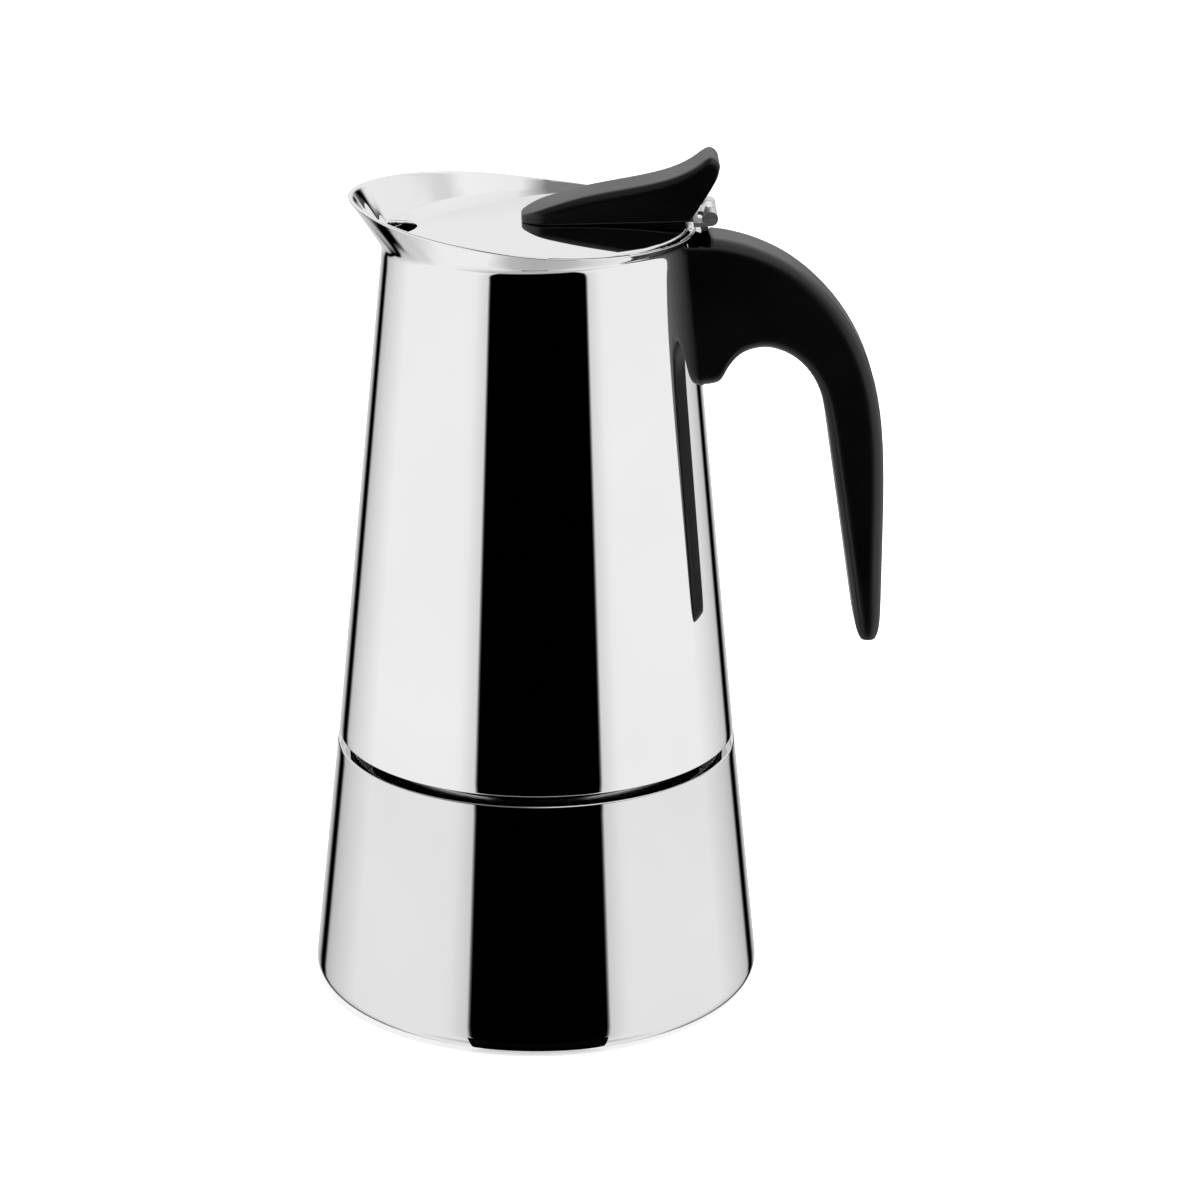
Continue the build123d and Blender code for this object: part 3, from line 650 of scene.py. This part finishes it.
studio_panels = [                # angle from the camera's side in degrees, brightness
    (0, 0.0), (34.6, 0.0), (35.4, 0.10), (36.6, 0.70), (46, 0.88), (50, 0.90), (108, 0.90), (120, 0.79),
    (130, 0.70), (140, 0.58), (142.8, 0.47), (145, 0.10), (147, 0.0), (153, 0.0), (155.4, 0.10),
    (158.2, 0.36), (162, 0.56), (170, 0.68), (180, 0.80)]
upper_panels = [                 # the same, above the ring of panels
    (0, 0.0), (40, 0.0), (60, 0.45), (90, 0.86)]
panel_turn = 1.4                 # degrees that the ring is turned, towards the handle
ceiling_panels = [               # place from the spout's side to the handle's side, brightness
    (0.0, 0.19), (0.45, 0.22), (0.56, 0.88), (0.80, 0.92), (0.86, 0.69), (1.0, 0.66)]
table_panels = [                 # angle from the camera's side in degrees, brightness
    (0, 0.46), (50, 0.52), (85, 0.80), (110, 0.90)]
upper_fade = (0.12, 0.26)        # heights of a direction, from -1 to 1, where each light takes over
ceiling_fade = (0.50, 0.72)
table_fade = (-0.74, -0.86)


def light_ramp(tree, value, panels):
    """A ramp of grey light through (place, brightness) stops, looked up at a value."""
    ramp = tree.nodes.new("ShaderNodeValToRGB")
    stops = ramp.color_ramp.elements
    while len(stops) < len(panels):
        stops.new(0.5)
    for stop, (place, light) in zip(stops, panels):
        stop.position = place
        stop.color = (*grey(light), 1)
    tree.links.new(value, ramp.inputs["Fac"])
    return ramp.outputs["Color"]


def ring_light(tree, share, panels):
    """The light of panels that stand round the pot, at a share of half a turn from the camera's side."""
    return light_ramp(tree, share, [(angle / 180, light) for angle, light in panels])


def takeover(tree, colour, other, height, fade):
    """A colour that goes over to the other between two heights of the direction."""
    blend = tree.nodes.new("ShaderNodeMapRange")
    blend.interpolation_type = "SMOOTHSTEP"
    blend.inputs["From Min"].default_value = fade[0]
    blend.inputs["From Max"].default_value = fade[1]
    tree.links.new(height, blend.inputs["Value"])
    mix = tree.nodes.new("ShaderNodeMix")
    mix.data_type = "RGBA"
    tree.links.new(blend.outputs["Result"], mix.inputs["Factor"])
    tree.links.new(colour, mix.inputs["A"])
    tree.links.new(other, mix.inputs["B"])
    return mix.outputs["Result"]


def make_studio():
    """A ring of pale panels with a dark gap on the camera's side, a soft ceiling and a white table."""
    world = bpy.data.worlds.new("studio")
    bpy.context.scene.world = world
    world.use_nodes = True
    tree = world.node_tree
    link = tree.links.new
    direction = tree.nodes.new("ShaderNodeTexCoord").outputs["Generated"]
    flat = tree.nodes.new("ShaderNodeVectorMath")
    flat.operation = "MULTIPLY"
    flat.inputs[1].default_value = (1, 1, 0)
    link(direction, flat.inputs[0])
    level = tree.nodes.new("ShaderNodeVectorMath")
    level.operation = "NORMALIZE"
    link(flat.outputs["Vector"], level.inputs[0])
    facing = tree.nodes.new("ShaderNodeVectorMath")
    facing.operation = "DOT_PRODUCT"
    facing.inputs[1].default_value = (sin(radians(panel_turn)), -cos(radians(panel_turn)), 0)
    link(level.outputs["Vector"], facing.inputs[0])
    turn = tree.nodes.new("ShaderNodeMath")
    turn.operation = "ARCCOSINE"
    link(facing.outputs["Value"], turn.inputs[0])
    share = tree.nodes.new("ShaderNodeMath")
    share.operation = "DIVIDE"
    share.inputs[1].default_value = pi
    link(turn.outputs["Value"], share.inputs[0])
    ring = ring_light(tree, share.outputs["Value"], studio_panels)
    upper = ring_light(tree, share.outputs["Value"], upper_panels)
    table = ring_light(tree, share.outputs["Value"], table_panels)
    parts = tree.nodes.new("ShaderNodeSeparateXYZ")
    link(direction, parts.inputs["Vector"])
    height = parts.outputs["Z"]
    across = tree.nodes.new("ShaderNodeMapRange")
    across.inputs["From Min"].default_value = -1
    link(parts.outputs["X"], across.inputs["Value"])
    ceiling = light_ramp(tree, across.outputs["Result"], ceiling_panels)
    walls = takeover(tree, ring, upper, height, upper_fade)
    room = takeover(tree, walls, ceiling, height, ceiling_fade)
    studio = takeover(tree, room, table, height, table_fade)
    link(studio, tree.nodes["Background"].inputs["Color"])


floor_half = 6.0                 # metres, half the floor's width
floor_glow = 0.6                 # light of its own, so that it stays pale to the picture's edge


def make_floor():
    """A pale floor, which reflections don't show."""
    bm = bmesh.new()
    bmesh.ops.create_grid(bm, x_segments=4, y_segments=4, size=floor_half)
    material, tree, shader, coords = node_material("pale_floor")
    soft = noise(tree, coords, scale=3)
    tree.links.new(tint(tree, soft, grey(0.90), grey(0.92)), shader.inputs["Base Color"])
    shader.inputs["Roughness"].default_value = 0.9
    shader.inputs["Specular IOR Level"].default_value = 0.1
    shader.inputs["Emission Color"].default_value = (1, 1, 1, 1)
    shader.inputs["Emission Strength"].default_value = floor_glow
    floor = mesh_object("floor", bm, material)
    floor.visible_glossy = False


mat_near = (14.5 * mm, -46.2 * mm)   # corners of the dark patch, in line with the dark gap's reflection
mat_far = (19.6 * mm, -53.2 * mm)
mat_aside = 0.6 * mm
mat_lift = 0.05 * mm


def make_dark_mat():
    """A dark patch on the floor in front of the base, which only reflections show: a painted dark reflection
    in the base's lower corner.
    """
    bm = bmesh.new()
    corners = [(-mat_near[0], mat_near[1]), mat_near, mat_far, (-mat_far[0], mat_far[1])]
    bm.faces.new([bm.verts.new((x + mat_aside, y, mat_lift)) for x, y in reversed(corners)])
    material, tree, shader, coords = node_material("reflection_only_black")
    # near-black tone of the painted dark reflection, faintly varied at random
    patch_tone = noise(tree, coords, scale=400)
    tree.links.new(tint(tree, patch_tone, grey(0.001), grey(0.003)), shader.inputs["Base Color"])
    shader.inputs["Roughness"].default_value = 1.0
    shader.inputs["Specular IOR Level"].default_value = 0.0
    mat = mesh_object("dark_mat", bm, material)
    mat.visible_camera = False
    mat.visible_diffuse = False
    mat.visible_shadow = False


lamp_place = Vector((0.1, 0.1, 1.2))
lamp_target = Vector((0.02, 0, 0.15))
lamp_width = 0.9
lamp_watts = 14


def make_lamp():
    """A soft square lamp over the pot, which reflections don't show."""
    lamp = bpy.data.lights.new("overhead", "AREA")
    lamp.size = lamp_width
    lamp.energy = lamp_watts
    holder = bpy.data.objects.new("overhead", lamp)
    aim = (lamp_target - lamp_place).to_track_quat("-Z", "Y")
    holder.matrix_world = Matrix.Translation(lamp_place) @ aim.to_matrix().to_4x4()
    holder.visible_glossy = False
    bpy.context.scene.collection.objects.link(holder)


camera_place = (0, -850 * mm, 383.05 * mm)
camera_pitch = 19.131            # degrees below level
camera_lens = 121.06             # millimetres, on a sensor this many wide:
camera_sensor = 36
camera_shift = 0.05315           # the pot stands left of the picture's middle by this share of its width


def make_camera():
    """The photograph's camera, fitted to the pot's round edges."""
    view = bpy.data.cameras.new("photo_view")
    view.lens = camera_lens
    view.sensor_width = camera_sensor
    view.shift_x = camera_shift
    holder = bpy.data.objects.new("photo_view", view)
    holder.location = camera_place
    holder.rotation_euler = (radians(90 - camera_pitch), 0, 0)
    bpy.context.scene.collection.objects.link(holder)
    bpy.context.scene.camera = holder


dress_frame()
make_boiler()
make_collector()
make_lid()
make_handle()
make_knob()
make_knob_skirt()
make_studio()
make_floor()
make_dark_mat()
make_lamp()
make_camera()
bpy.context.scene.view_settings.view_transform = "Standard"
